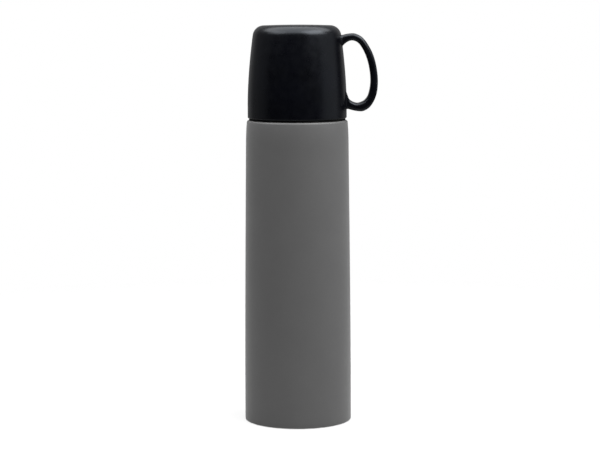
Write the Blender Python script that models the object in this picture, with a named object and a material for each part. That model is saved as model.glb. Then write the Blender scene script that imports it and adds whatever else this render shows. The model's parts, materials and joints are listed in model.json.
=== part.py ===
"""Vacuum flask with a screw-on drinking cup and a push-button stopper.

Metres, +Z up. The origin is the middle of the base, on the flask's axis, and the cup's handle points
along +X. Every turned piece is a closed profile of (radius, height) points in millimetres, spun about
the axis. Moving pieces have their origin on the axis they turn about or slide along.
"""

import math

import bmesh
import bpy
from mathutils import Vector

MM = 0.001
GAP = 0.3            # clearance kept between pieces that touch, mm
WIDE_STEPS = 36      # facets around the body and the cup
SLIM_STEPS = 24      # facets around the stopper's pieces
RIDGE_STEPS = 26     # sections in one turn of a thread

# Body, mm
BASE_R = 35.0        # outer radius over the straight lower part
TAPER_START_Z = 30.0
TAPER_END_Z = 188.0
TAPER_LOSS = 1.5     # how much the radius shrinks over the taper
TAPER_POWER = 1.25
STEEL = 0.6          # thickness of both steel walls
FOOT_Z = 0.4         # underside of the outer wall
FOOT_ROUND = 1.4
SHOULDER_Z = 198.1
SHOULDER_R = 32.2    # where the rounded shoulder edge meets the flat
NECK_R = 26.2        # outer wall's neck, outside
NECK_TOP_Z = 212.5
LIP_Z = 214.0
MOUTH_R = 22.5       # inner bottle's neck at the thread, inside
SEAT_R = 21.6        # narrower bore below the thread, which the stopper's gasket seals in
BOTTLE_R = 31.9      # inner bottle, outside
BOTTLE_FLOOR_Z = 8.0
PAD_R = 30.5
PAD_TOP_Z = 2.2

# Cup, mm
RIM_Z = 199.4
RIM_R = 32.3
RIM_ROUND = 1.0
CUP_TAPER_Z = 208.0
CUP_CORNER_Z = 252.4     # centre of the rounded top edge
CUP_CORNER_R = 21.6
CUP_CORNER_ROUND = 7.2
CUP_TOP_Z = 260.0
CUP_NARROWING = 3.1      # radius lost from the taper's start to 42 mm above it
CUP_WALL = 1.8
LINER_R = 28.6           # liner's inside at the thread
HANDLE_HALF_WIDTH = 6.0
HANDLE_ROUND = 1.7

# Stopper, mm
PLUG_R = 20.6
PLUG_BOTTOM_Z = 192.0
FLANGE_R = 23.4
FLANGE_TOP_Z = 216.3
CAP_R = 24.6
CAP_TOP_Z = 224.5
BUTTON_R = 10.9
BUTTON_TOP_Z = 226.0
STEM_R = 2.4
STEM_BOTTOM_Z = 188.0
LATCH_Z = 217.7          # underside of the latch plate
LATCH_THICK = 1.4

# Threads, mm: pitch, height of the ridge at its root and at its crest
PITCH = 4.0
RIDGE_ROOT = 2.2
RIDGE_CREST = 0.8
RIDGE_SUNK = 0.35        # how far a ridge reaches into its wall
RIDGE_OFFSET = 0.31      # part of a step by which a ridge's sections miss the wall's own edges


def clear_scene():
    for old in list(bpy.data.objects):
        bpy.data.objects.remove(old, do_unlink=True)


def material(name, colour, roughness, metallic=0.0):
    made = bpy.data.materials.new(name)
    made.use_nodes = True
    shader = made.node_tree.nodes["Principled BSDF"]
    shader.inputs["Base Color"].default_value = (*colour, 1.0)
    shader.inputs["Roughness"].default_value = roughness
    shader.inputs["Metallic"].default_value = metallic
    return made


def add_object(name, mesh_data, finish=None):
    """Put a bmesh of millimetre points into the scene as a named object in metres."""
    bmesh.ops.scale(mesh_data, vec=(MM, MM, MM), verts=mesh_data.verts)
    bmesh.ops.recalc_face_normals(mesh_data, faces=mesh_data.faces)
    mesh = bpy.data.meshes.new(name)
    mesh_data.to_mesh(mesh)
    mesh_data.free()
    mesh.shade_smooth()
    mesh.set_sharp_from_angle(angle=math.radians(35))
    made = bpy.data.objects.new(name, mesh)
    bpy.context.scene.collection.objects.link(made)
    if finish is not None:
        mesh.materials.append(finish)
    return made


def as_cutter(tool):
    tool.hide_render = True
    tool.display_type = "WIRE"
    return tool


def boolean(target, tool, operation):
    """Join or cut target with tool. The tool stays in the scene as a hidden guide."""
    step = target.modifiers.new(tool.name, "BOOLEAN")
    step.operation = operation
    step.solver = "EXACT"
    step.object = as_cutter(tool)
    return target


# ---------------------------------------------------------------- shapes

def arc(centre_r, centre_z, radius, start_deg, end_deg, steps):
    """Points of an arc in the (radius, height) plane, both ends included."""
    points = []
    for i in range(steps + 1):
        angle = math.radians(start_deg + (end_deg - start_deg) * i / steps)
        points.append((centre_r + radius * math.cos(angle), centre_z + radius * math.sin(angle)))
    return points


def turned(profile, steps):
    """Spin a closed profile of (radius, height) points about the axis. Points at radius 0 become poles."""
    data = bmesh.new()
    outline = [data.verts.new((r, 0.0, z)) for r, z in profile]
    edges = []
    for i, point in enumerate(outline):
        following = outline[(i + 1) % len(outline)]
        on_axis = profile[i][0] == 0.0 and profile[(i + 1) % len(outline)][0] == 0.0
        if not on_axis:
            edges.append(data.edges.new((point, following)))
    bmesh.ops.spin(data, geom=outline + edges, axis=(0, 0, 1), cent=(0, 0, 0), steps=steps,
                   angle=math.tau, use_merge=True)
    bmesh.ops.remove_doubles(data, verts=data.verts, dist=1e-4)
    bmesh.ops.dissolve_degenerate(data, edges=data.edges, dist=1e-5)
    return data


def ring(name, inner, outer, bottom, top, steps, finish):
    """A plain ring or, with inner 0, a disc."""
    return add_object(name, turned([(outer, top), (outer, bottom), (inner, bottom), (inner, top)], steps), finish)


def helix_ridge(wall_r, crest_r, bottom_z, turns, steps_per_turn):
    """A thread ridge that climbs anticlockwise and fades out at both ends. It is sunk into the wall."""
    data = bmesh.new()
    inward = 1.0 if crest_r > wall_r else -1.0
    root_r = wall_r - inward * RIDGE_SUNK
    count = int(turns * steps_per_turn)
    sections = []
    for i in range(count + 1):
        angle = math.tau * (i + RIDGE_OFFSET) / steps_per_turn
        middle = bottom_z + PITCH * i / steps_per_turn
        fade = min(1.0, 0.15 + min(i, count - i) / (steps_per_turn * 0.2))
        crest = wall_r + (crest_r - wall_r) * fade
        corners = [
            (root_r, middle - RIDGE_ROOT / 2),
            (crest, middle - RIDGE_CREST / 2),
            (crest, middle + RIDGE_CREST / 2),
            (root_r, middle + RIDGE_ROOT / 2),
        ]
        sections.append([
            data.verts.new((r * math.cos(angle), r * math.sin(angle), z)) for r, z in corners
        ])
    for here, there in zip(sections, sections[1:]):
        for k in range(4):
            data.faces.new((here[k], here[(k + 1) % 4], there[(k + 1) % 4], there[k]))
    data.faces.new(sections[0])
    data.faces.new(list(reversed(sections[-1])))
    return data


def block(name, size, centre):
    """A rectangular cutter, millimetres."""
    data = bmesh.new()
    bmesh.ops.create_cube(data, size=1.0)
    bmesh.ops.scale(data, vec=size, verts=data.verts)
    bmesh.ops.translate(data, vec=centre, verts=data.verts)
    return as_cutter(add_object(name, data))


def coil(name, coil_r, wire_r, bottom, top, turns, sides, steps_per_turn, finish):
    """A compression spring along Z, between two heights, with capped ends."""
    data = bmesh.new()
    count = int(turns * steps_per_turn)
    rise = (top - bottom - 2 * wire_r) / count
    sections = []
    for i in range(count + 1):
        angle = math.tau * i / steps_per_turn
        middle = bottom + wire_r + rise * i
        section = []
        for k in range(sides):
            around = math.tau * k / sides
            r = coil_r + wire_r * math.cos(around)
            z = middle + wire_r * math.sin(around)
            section.append(data.verts.new((r * math.cos(angle), r * math.sin(angle), z)))
        sections.append(section)
    for here, there in zip(sections, sections[1:]):
        for k in range(sides):
            data.faces.new((here[k], here[(k + 1) % sides], there[(k + 1) % sides], there[k]))
    data.faces.new(sections[0])
    data.faces.new(list(reversed(sections[-1])))
    return add_object(name, data, finish)


# ---------------------------------------------------------------- the flask's body

def body_radius(z):
    """Outside radius of the outer wall between the foot and the shoulder edge."""
    part = min(1.0, max(0.0, (z - TAPER_START_Z) / (TAPER_END_Z - TAPER_START_Z)))
    roll_in = 0.5 * max(0.0, (z - TAPER_END_Z) / 8.0)
    return BASE_R - TAPER_LOSS * part ** TAPER_POWER - roll_in


OUTSIDE_HEIGHTS = [TAPER_START_Z, 70.0, 110.0, 150.0, TAPER_END_Z, 196.0]
INSIDE_HEIGHTS = [196.0, TAPER_END_Z, 110.0, TAPER_START_Z]


def make_outer_shell(finish):
    foot = arc(BASE_R - FOOT_ROUND, FOOT_Z + FOOT_ROUND, FOOT_ROUND, -90, 0, 3)
    outside = foot + [(body_radius(z), z) for z in OUTSIDE_HEIGHTS]
    shoulder = [(32.85, 197.1), (32.6, 197.7), (SHOULDER_R, SHOULDER_Z), (NECK_R + 0.8, SHOULDER_Z),
                (NECK_R, SHOULDER_Z + 0.8), (NECK_R, NECK_TOP_Z)]
    inner_neck = [(NECK_R - STEEL, NECK_TOP_Z), (NECK_R - STEEL, SHOULDER_Z - STEEL),
                  (SHOULDER_R - STEEL, SHOULDER_Z - STEEL)]
    inside = [(body_radius(z) - STEEL, z - 0.5) for z in INSIDE_HEIGHTS]
    foot_inside = [(BASE_R - STEEL, FOOT_Z + FOOT_ROUND), (BASE_R - FOOT_ROUND, FOOT_Z + STEEL)]
    shell = add_object("outer_shell", turned(outside + shoulder + inner_neck + inside + foot_inside,
                                             WIDE_STEPS), finish)
    ridge = add_object("neck_ridge", helix_ridge(NECK_R, NECK_R + 0.9, 201.4, 2.0, RIDGE_STEPS))
    return boolean(shell, ridge, "UNION")


def make_inner_bottle(finish):
    """Rounded floor, straight wall, shoulder drawn in to the gasket's seat, threaded neck and rolled lip."""
    outer_floor = [(0.0, BOTTLE_FLOOR_Z)] + arc(BOTTLE_R - 12, BOTTLE_FLOOR_Z + 12, 12, -90, 0, 4)
    neck_out = MOUTH_R + STEEL
    seat_out = SEAT_R + STEEL
    outer = outer_floor + [(BOTTLE_R, 164.0), (31.4, 173.0), (29.6, 180.5), (26.6, 186.5), (23.6, 190.5),
                           (seat_out, 193.5), (seat_out, 200.3), (neck_out, 201.8), (neck_out, 211.9)]
    lip = [(23.6, NECK_TOP_Z + GAP), (NECK_R - 0.1, NECK_TOP_Z + GAP), (NECK_R + 0.1, 213.3),
           (NECK_R - 0.4, LIP_Z), (23.4, LIP_Z), (22.8, 213.7), (MOUTH_R, 213.1)]
    inner = [(MOUTH_R, 201.6), (SEAT_R, 200.1), (SEAT_R, 193.3), (23.0, 190.2), (26.0, 186.1), (29.0, 180.1),
             (30.8, 172.6), (BOTTLE_R - STEEL, 164.0)]
    inner_floor = arc(BOTTLE_R - 12, BOTTLE_FLOOR_Z + 12, 12 - STEEL, 0, -90, 4)
    profile = outer + lip + inner + inner_floor + [(0.0, BOTTLE_FLOOR_Z + STEEL)]
    bottle = add_object("inner_bottle", turned(profile, WIDE_STEPS), finish)
    ridge = add_object("mouth_ridge", helix_ridge(MOUTH_R, MOUTH_R - 0.7, 204.2, 1.5, RIDGE_STEPS))
    return boolean(bottle, ridge, "UNION")


def make_outer_base(finish):
    """Pan welded inside the foot of the outer wall, dished up in the middle for the pump-out hole."""
    edge = BASE_R - STEEL - GAP
    profile = [(edge, 5.2), (edge, 2.6), (9.0, 2.6), (7.0, 4.2), (1.2, 4.2), (1.2, 4.8), (6.8, 4.8), (8.8, 3.2),
               (edge - STEEL - 0.4, 3.2), (edge - STEEL, 5.2)]
    return add_object("outer_base", turned(profile, WIDE_STEPS), finish)


def make_vacuum_seal(finish):
    """Bead of braze under the pump-out hole."""
    profile = [(0.0, 3.9)] + [(3.4, 3.9), (2.9, 3.2), (1.7, 2.7), (0.0, 2.5)]
    return add_object("vacuum_seal", turned(profile, 16), finish)


def make_getter(finish):
    return ring("getter", 0.0, 5.0, 5.2, 7.4, 20, finish)


def make_radiation_foil(finish):
    outer = BOTTLE_R + GAP + 0.3
    return ring("radiation_foil", outer - 0.3, outer, 22.0, 162.0, WIDE_STEPS, finish)


def make_base_pad(finish):
    profile = [(0.0, 0.0), (PAD_R - 0.6, 0.0), (PAD_R, 0.6), (PAD_R, PAD_TOP_Z), (0.0, PAD_TOP_Z)]
    return add_object("base_pad", turned(profile, WIDE_STEPS), finish)


def make_shoulder_ring(finish):
    """Flat ring in the groove that the cup seats on."""
    bottom = SHOULDER_Z + GAP
    top = RIM_Z - GAP
    return ring("shoulder_ring", NECK_R + 1.2, 31.5, bottom, top, WIDE_STEPS, finish)


# ---------------------------------------------------------------- the cup

def cup_radius(z):
    """Outside radius of the cup's wall below its rounded top edge."""
    part = max(0.0, (z - CUP_TAPER_Z) / 42.0)
    return RIM_R - CUP_NARROWING * part ** 1.75


def smooth_line(points, steps):
    """A Catmull-Rom curve through points of any dimension, with steps per span."""
    ends = [points[0]] + points + [points[-1]]
    line = []
    for i in range(1, len(ends) - 2):
        for k in range(steps):
            t = k / steps
            line.append(tuple(
                0.5 * (2 * b + (c - a) * t + (2 * a - 5 * b + 4 * c - d) * t * t
                       + (3 * b - a - 3 * c + d) * t ** 3)
                for a, b, c, d in zip(*ends[i - 1:i + 3])
            ))
    return line + [tuple(points[-1])]


def handle_rows():
    """Pairs of outer and inner edge points of the D-shaped handle, from the top root to the lower root.

    Both ends lie inside the cup's wall: the top root is blunt, and the lower one has a long inner fillet.
    """
    return [
        (27.8, 252.9, 28.5, 245.4),
        (33.2, 254.2, 32.6, 248.8),
        (38.4, 254.1, 36.4, 249.7),
        (43.6, 250.7, 40.6, 247.3),
        (48.8, 242.3, 44.6, 240.4),
        (51.6, 233.0, 47.0, 232.0),
        (52.6, 223.0, 47.8, 223.0),
        (51.5, 214.2, 46.6, 215.4),
        (47.9, 207.2, 44.6, 211.7),
        (43.2, 204.0, 42.0, 209.9),
        (38.4, 204.0, 38.6, 209.2),
        (34.2, 205.0, 34.4, 211.2),
        (32.3, 205.5, 32.4, 215.4),
        (30.9, 205.7, 30.6, 220.0),
    ]


def handle_mesh(steps_per_row):
    """Loft a rounded rectangle across every pair of edge points."""
    data = bmesh.new()
    edge = HANDLE_ROUND
    sections = []
    for out_x, out_z, in_x, in_z in smooth_line(handle_rows(), steps_per_row):
        outer = Vector((out_x, 0.0, out_z))
        inner = Vector((in_x, 0.0, in_z))
        across = (inner - outer).normalized()
        thick = (inner - outer).length
        wide = HANDLE_HALF_WIDTH
        shape = [(0.0, wide - edge), (edge * 0.3, wide - edge * 0.3), (edge, wide),
                 (thick - edge, wide), (thick - edge * 0.3, wide - edge * 0.3), (thick, wide - edge)]
        shape += [(depth, -y) for depth, y in reversed(shape)]
        sections.append([data.verts.new(outer + across * depth + Vector((0, y, 0))) for depth, y in shape])
    sides = len(sections[0])
    for here, there in zip(sections, sections[1:]):
        for k in range(sides):
            data.faces.new((here[k], here[(k + 1) % sides], there[(k + 1) % sides], there[k]))
    data.faces.new(sections[0])
    data.faces.new(list(reversed(sections[-1])))
    return data


def make_cup_shell(finish):
    """Outer wall of the cup, upside down as a lid, with the handle moulded on."""
    rim = arc(RIM_R - RIM_ROUND, RIM_Z + RIM_ROUND, RIM_ROUND, -90, 0, 3)
    heights = [CUP_TAPER_Z, 220.0, 230.0, 238.0, 246.0]
    corner = arc(CUP_CORNER_R, CUP_CORNER_Z, CUP_CORNER_ROUND, 8, 88, 6)
    outside = rim + [(cup_radius(z), z) for z in heights] + corner + [(0.0, CUP_TOP_Z)]
    inner_corner = arc(CUP_CORNER_R, CUP_CORNER_Z, CUP_CORNER_ROUND - CUP_WALL, 88, 8, 4)
    inside = ([(0.0, CUP_TOP_Z - CUP_WALL)] + inner_corner
              + [(cup_radius(z) - CUP_WALL, z - 0.3) for z in reversed(heights)] + [(RIM_R - CUP_WALL, RIM_Z)])
    shell = add_object("cup_shell", turned(outside + inside, WIDE_STEPS), finish)
    handle = add_object("handle_guide", handle_mesh(2))
    return boolean(shell, handle, "UNION")


def make_cup_liner(finish):
    """Inner wall of the cup, bonded inside the rim, with the thread that grips the flask's neck."""
    outside = [(LINER_R, 200.0), (30.2, 200.0), (30.2, 205.0), (29.9, 214.0), (29.0, 224.0), (27.6, 240.0)]
    outer_corner = arc(20.4, 250.4, 6.2, 4, 88, 4)
    inner_corner = arc(20.4, 250.4, 4.8, 88, 4, 4)
    inside = [(26.2, 240.0), (27.6, 224.0), (LINER_R, 214.0)]
    profile = outside + outer_corner + [(0.0, 256.7), (0.0, 255.3)] + inner_corner + inside
    liner = add_object("cup_liner", turned(profile, WIDE_STEPS), finish)
    ridge = add_object("liner_ridge", helix_ridge(LINER_R, LINER_R - 0.9, 203.4, 1.6, RIDGE_STEPS))
    return boolean(liner, ridge, "UNION")


# ---------------------------------------------------------------- the stopper

def make_stopper_body(finish):
    """Threaded plug with a valve port in its floor, a valve chamber, and a guide for the stem."""
    profile = [
        (FLANGE_R, FLANGE_TOP_Z), (FLANGE_R, LIP_Z + GAP), (PLUG_R, LIP_Z + GAP), (PLUG_R, 196.6),
        (18.9, 196.6), (18.9, 193.2), (PLUG_R, 193.2), (PLUG_R, PLUG_BOTTOM_Z),
        (9.0, PLUG_BOTTOM_Z), (9.0, 194.0), (17.2, 194.0), (17.2, 205.0), (2.75, 205.0), (2.75, 206.6),
        (4.7, 206.6), (4.7, 209.0), (6.0, 209.0), (6.0, 207.0), (18.0, 207.0), (18.0, FLANGE_TOP_Z),
    ]
    plug = add_object("stopper_body", turned(profile, SLIM_STEPS), finish)
    boolean(plug, add_object("plug_ridge", helix_ridge(PLUG_R, PLUG_R + 0.8, 205.4, 1.5, RIDGE_STEPS)),
            "UNION")
    boolean(plug, block("window_x", (60.0, 9.0, 5.0), (0.0, 0.0, 200.2)), "DIFFERENCE")
    boolean(plug, block("window_y", (9.0, 60.0, 5.0), (0.0, 0.0, 200.2)), "DIFFERENCE")
    for side in (-1, 1):
        channel = block(f"channel_{side}", (5.0, 9.0, 12.0), (side * (18.9 + 2.5), 0.0, 208.4))
        boolean(plug, channel, "DIFFERENCE")
    return plug


def make_stopper_gasket(finish):
    """Silicone ring in the plug's groove, with two lips that seal in the bore below the neck's thread."""
    inner = 18.9 + GAP
    bottom, top = 193.2 + GAP, 196.6 - GAP
    lip = SEAT_R - GAP
    profile = [(inner, top), (lip - 0.5, top), (lip, top - 0.5), (lip - 0.4, top - 1.2),
               (lip - 0.4, bottom + 1.2), (lip, bottom + 0.6), (lip - 0.5, bottom), (inner, bottom)]
    return add_object("stopper_gasket", turned(profile, SLIM_STEPS), finish)


def make_stopper_cap(finish):
    """Grip housing over the plug's flange, with the button's hole and the latch tab's window."""
    skirt = LIP_Z + 0.8
    seat = FLANGE_TOP_Z + GAP
    profile = [
        (FLANGE_R + GAP, skirt), (CAP_R, skirt), (CAP_R, 219.5), (24.1, 221.6), (22.8, 223.4), (20.8, CAP_TOP_Z),
        (BUTTON_R + 0.4, CAP_TOP_Z), (BUTTON_R + 0.4, 222.7), (20.6, 222.7), (22.0, 221.6), (22.6, 219.5),
        (22.6, seat), (FLANGE_R + GAP, seat),
    ]
    cap = add_object("stopper_cap", turned(profile, SLIM_STEPS), finish)
    window = block("tab_window", (9.6, 8.0, LATCH_THICK + 2 * GAP), (0.0, -24.0, LATCH_Z + LATCH_THICK / 2))
    return boolean(cap, window, "DIFFERENCE")


def make_push_button(finish):
    """Button with a rim that stops it under the cap, and a socket for the stem."""
    profile = [
        (0.0, BUTTON_TOP_Z), (0.0, 223.3), (2.7, 223.3), (2.7, 217.0), (3.9, 217.0), (3.9, 224.2),
        (9.7, 224.2), (9.7, 220.9), (12.4, 220.9), (12.4, 222.3), (BUTTON_R, 222.3),
        (BUTTON_R, 225.1), (BUTTON_R - 0.9, 225.9), (8.0, BUTTON_TOP_Z),
    ]
    return add_object("push_button", turned(profile, SLIM_STEPS), finish)


def make_valve_stem(finish):
    profile = [(0.0, 223.0), (0.0, STEM_BOTTOM_Z), (9.4, STEM_BOTTOM_Z), (9.4, 189.2), (STEM_R, 189.2),
               (STEM_R, 223.0)]
    return add_object("valve_stem", turned(profile, 24), finish)


def make_valve_seal(finish):
    profile = [(STEM_R + GAP, 189.5), (10.6, 189.5), (11.6, 190.6), (11.6, 191.7), (STEM_R + GAP, 191.7)]
    return add_object("valve_seal", turned(profile, SLIM_STEPS), finish)


def make_stem_o_ring(finish):
    section = arc(3.7, 207.75, 0.72, 0, 324, 9)
    return add_object("stem_o_ring", turned(section, 24), finish)


def make_button_spring(finish):
    return coil("button_spring", 7.8, 0.45, 207.3, 223.9, 5, 5, 16, finish)


def make_release_tab(finish):
    """Latch plate around the button, with the thumb tab at -Y and the latch nose at +Y."""
    plate = ring("release_tab", 14.6, 17.6, LATCH_Z, LATCH_Z + LATCH_THICK, SLIM_STEPS, finish)
    middle = LATCH_Z + LATCH_THICK / 2
    tab = block("tab_guide", (8.6, 9.0, LATCH_THICK), (0.0, -20.3, middle))
    nose = block("nose_guide", (5.0, 3.0, LATCH_THICK), (0.0, 14.2, middle))
    return boolean(boolean(plate, tab, "UNION"), nose, "UNION")


def make_release_spring(finish):
    """Small coil along Y, between the latch plate and the back of the cap."""
    spring = coil("release_spring", 0.9, 0.3, 0.0, 4.2, 4, 4, 10, finish)
    spring.rotation_euler = (math.radians(-90), 0.0, 0.0)
    spring.location = Vector((0.0, 18.0, LATCH_Z + LATCH_THICK / 2 + 0.3)) * MM
    return spring


# ---------------------------------------------------------------- assembly

def finishes():
    steel = (0.60, 0.60, 0.61)
    return {
        "paint": material("grey_paint", (0.094, 0.094, 0.094), 0.5, 0.3),
        "liner_steel": material("inner_steel", steel, 0.35, 1.0),
        "base_steel": material("base_steel", steel, 0.4, 1.0),
        "braze": material("braze", (0.45, 0.34, 0.18), 0.4, 1.0),
        "getter": material("getter_grey", (0.2, 0.2, 0.21), 0.7, 0.5),
        "foil": material("copper_foil", (0.72, 0.36, 0.22), 0.25, 1.0),
        "rubber": material("pad_rubber", (0.02, 0.02, 0.021), 0.85),
        "ring": material("ring_black", (0.012, 0.012, 0.013), 0.6),
        "cup": material("cup_black", (0.008, 0.008, 0.010), 0.42),
        "cup_inside": material("cup_inner_black", (0.015, 0.015, 0.016), 0.5),
        "plug": material("plug_black", (0.02, 0.02, 0.022), 0.5),
        "silicone": material("silicone_grey", (0.55, 0.55, 0.54), 0.6),
        "grip": material("grip_black", (0.014, 0.014, 0.016), 0.5),
        "button": material("button_grey", (0.25, 0.25, 0.26), 0.45),
        "stem": material("stem_white", (0.7, 0.7, 0.68), 0.5),
        "seal": material("seal_silicone", (0.6, 0.6, 0.58), 0.6),
        "o_ring": material("o_ring_black", (0.02, 0.02, 0.02), 0.7),
        "spring": material("spring_steel", steel, 0.3, 1.0),
        "latch": material("latch_grey", (0.25, 0.25, 0.26), 0.5),
        "latch_spring": material("latch_spring_steel", steel, 0.3, 1.0),
    }


def main():
    clear_scene()
    finish = finishes()
    make_outer_shell(finish["paint"])
    make_inner_bottle(finish["liner_steel"])
    make_outer_base(finish["base_steel"])
    make_vacuum_seal(finish["braze"])
    make_getter(finish["getter"])
    make_radiation_foil(finish["foil"])
    make_base_pad(finish["rubber"])
    make_shoulder_ring(finish["ring"])
    make_cup_shell(finish["cup"])
    make_cup_liner(finish["cup_inside"])
    make_stopper_body(finish["plug"])
    make_stopper_gasket(finish["silicone"])
    make_stopper_cap(finish["grip"])
    make_push_button(finish["button"])
    make_valve_stem(finish["stem"])
    make_valve_seal(finish["seal"])
    make_stem_o_ring(finish["o_ring"])
    make_button_spring(finish["spring"])
    make_release_tab(finish["latch"])
    make_release_spring(finish["latch_spring"])


main()
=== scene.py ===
"""Looks of the vacuum flask: fine meshes, finishes, floor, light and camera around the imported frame.

Lengths in the modelling functions are millimetres. Pieces are turned about the flask's axis from
outlines of (radius, height) corners, and placed from the frame's nodes.
"""
import json
import math

import bmesh
import bpy
from mathutils import Matrix, Vector


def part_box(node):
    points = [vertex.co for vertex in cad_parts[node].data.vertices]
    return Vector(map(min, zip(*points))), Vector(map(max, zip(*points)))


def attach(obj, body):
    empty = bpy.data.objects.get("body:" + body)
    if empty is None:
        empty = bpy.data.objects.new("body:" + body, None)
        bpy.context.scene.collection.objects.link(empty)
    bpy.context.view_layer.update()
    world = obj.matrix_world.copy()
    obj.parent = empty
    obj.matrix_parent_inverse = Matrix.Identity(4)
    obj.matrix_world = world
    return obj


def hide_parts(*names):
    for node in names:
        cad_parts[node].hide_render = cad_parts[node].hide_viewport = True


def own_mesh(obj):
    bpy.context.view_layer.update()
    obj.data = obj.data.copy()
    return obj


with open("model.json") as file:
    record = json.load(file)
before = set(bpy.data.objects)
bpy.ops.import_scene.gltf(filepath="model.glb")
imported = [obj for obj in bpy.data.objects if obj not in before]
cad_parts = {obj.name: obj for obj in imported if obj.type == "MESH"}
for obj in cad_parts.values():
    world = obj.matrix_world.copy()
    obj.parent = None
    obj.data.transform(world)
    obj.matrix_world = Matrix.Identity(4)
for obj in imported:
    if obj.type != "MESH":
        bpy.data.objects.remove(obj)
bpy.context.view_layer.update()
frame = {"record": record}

MM = 0.001                  # one millimetre, in metres
ROUND_STEPS = 160           # sections round a large turned piece
SMALL_STEPS = 112           # sections round a stopper piece
THIN_STEPS = 72             # sections round the stem and its ring
ON_WALL = 0.05              # a point this near to a wall's radius lies on that wall, mm
THREAD_STEP = 0.3           # height between the rows of points of a threaded wall, mm
SHARP = math.radians(38)    # faces that meet at more than this keep a sharp edge
WELD_REACH = 4e-6           # points nearer than this are joined after a boolean, metres

BODY_OF = {
    node: body
    for body, nodes in frame["record"]["behaviour"]["bodies"].items()
    for node in nodes
}


def extent(node):
    """Bottom, top and outer radius of a round CAD node, mm."""
    low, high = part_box(node)
    return low.z / MM, high.z / MM, high.y / MM


# ------------------------------------------------------------ shape tools

def arc(centre_r, centre_z, radius, start_deg, end_deg, steps):
    """Points (r, z) along part of a circle."""
    points = []
    for i in range(steps + 1):
        angle = math.radians(start_deg + (end_deg - start_deg) * i / steps)
        points.append((centre_r + radius * math.cos(angle), centre_z + radius * math.sin(angle)))
    return points


def rounded(corners, steps=5):
    """A closed outline from corners (r, z) or (r, z, fillet radius)."""
    nearly_straight = math.pi - 0.02
    most_of_edge = 0.48
    outline = []
    count = len(corners)
    for i, corner in enumerate(corners):
        here = Vector(corner[:2])
        fillet = corner[2] if len(corner) > 2 else 0.0
        before = Vector(corners[i - 1][:2]) - here
        after = Vector(corners[(i + 1) % count][:2]) - here
        if fillet <= 0 or before.length == 0 or after.length == 0:
            outline.append(tuple(here))
            continue
        angle = before.angle(after)
        if angle > nearly_straight:
            outline.append(tuple(here))
            continue
        room = most_of_edge * min(before.length, after.length)
        reach = min(fillet / math.tan(angle / 2), room)
        fillet = reach * math.tan(angle / 2)
        start = here + before.normalized() * reach
        end = here + after.normalized() * reach
        halfway = (before.normalized() + after.normalized()).normalized()
        middle = here + halfway * fillet / math.sin(angle / 2)
        first, last = start - middle, end - middle
        sweep = first.angle_signed(last)
        for k in range(steps + 1):
            turned_by = Matrix.Rotation(-sweep * k / steps, 2)
            outline.append(tuple(middle + turned_by @ first))
    return outline


def smooth_line(points, steps):
    """A Catmull-Rom curve through points of any dimension. steps is a number, or one per span."""
    spans = len(points) - 1
    steps = [steps] * spans if isinstance(steps, int) else steps
    ends = [points[0]] + list(points) + [points[-1]]
    line = []
    for i in range(1, spans + 1):
        for k in range(steps[i - 1]):
            t = k / steps[i - 1]
            line.append(tuple(
                0.5 * (2 * b + (c - a) * t + (2 * a - 5 * b + 4 * c - d) * t * t
                       + (3 * b - a - 3 * c + d) * t ** 3)
                for a, b, c, d in zip(*ends[i - 1:i + 3])
            ))
    return line + [tuple(points[-1])]


def densified(outline, bottom, top, step):
    """The outline with steep edges between two heights cut into steps, for a thread or flutes."""
    steepness = 0.2
    dense = []
    for i, (r, z) in enumerate(outline):
        next_r, next_z = outline[(i + 1) % len(outline)]
        dense.append((r, z))
        low, high = min(z, next_z), max(z, next_z)
        steep = abs(next_r - r) < steepness * (high - low)
        if steep and high - low > step and high > bottom and low < top:
            cuts = int((high - low) / step)
            for k in range(1, cuts):
                share = k / cuts
                dense.append((r + (next_r - r) * share, z + (next_z - z) * share))
    return dense


def turned(outline, steps, shape=None):
    """Spin a closed outline about the axis. shape(angle, r, z) may push a point's radius in or out."""
    data = bmesh.new()
    poles = {i: data.verts.new((0, 0, z)) for i, (r, z) in enumerate(outline) if r < 1e-6}
    columns = []
    for k in range(steps):
        angle = math.tau * k / steps
        column = []
        for i, (r, z) in enumerate(outline):
            if i in poles:
                column.append(poles[i])
                continue
            pushed = shape(angle, r, z) if shape else r
            column.append(data.verts.new((pushed * math.cos(angle), pushed * math.sin(angle), z)))
        columns.append(column)
    count = len(outline)
    for k in range(steps):
        here, there = columns[k], columns[(k + 1) % steps]
        for i in range(count):
            following = (i + 1) % count
            corners = [here[i], there[i], there[following], here[following]]
            if i in poles and following in poles:
                continue
            if i in poles:
                corners = [here[i], there[following], here[following]]
            elif following in poles:
                corners = [here[i], there[i], here[following]]
            data.faces.new(corners)
    return data


def lofted(sections):
    """Skin a list of closed sections, with flat ends."""
    data = bmesh.new()
    rows = [[data.verts.new(point) for point in section] for section in sections]
    sides = len(rows[0])
    for here, there in zip(rows, rows[1:]):
        for k in range(sides):
            data.faces.new((here[k], here[(k + 1) % sides], there[(k + 1) % sides], there[k]))
    data.faces.new(rows[0])
    data.faces.new(list(reversed(rows[-1])))
    return data


def thread_push(height, start_z, turns, pitch, half_width):
    """A shape for turned(): a rolled right-hand thread ridge that swells and fades at its ends."""
    start_angle = 0.075
    fade_turns = 0.12
    roundness = 1.4

    def push(angle, z):
        along = (angle - start_angle) / math.tau
        total = 0.0
        for k in range(-1, int(turns) + 2):
            progress = along + k
            if not 0.0 <= progress <= turns:
                continue
            distance = abs(z - start_z - pitch * progress)
            if distance < half_width:
                fade = min(1.0, progress / fade_turns, (turns - progress) / fade_turns)
                swell = math.cos(distance / half_width * math.pi / 2) ** roundness
                total = max(total, fade * swell)
        return height * total
    return push


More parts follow.
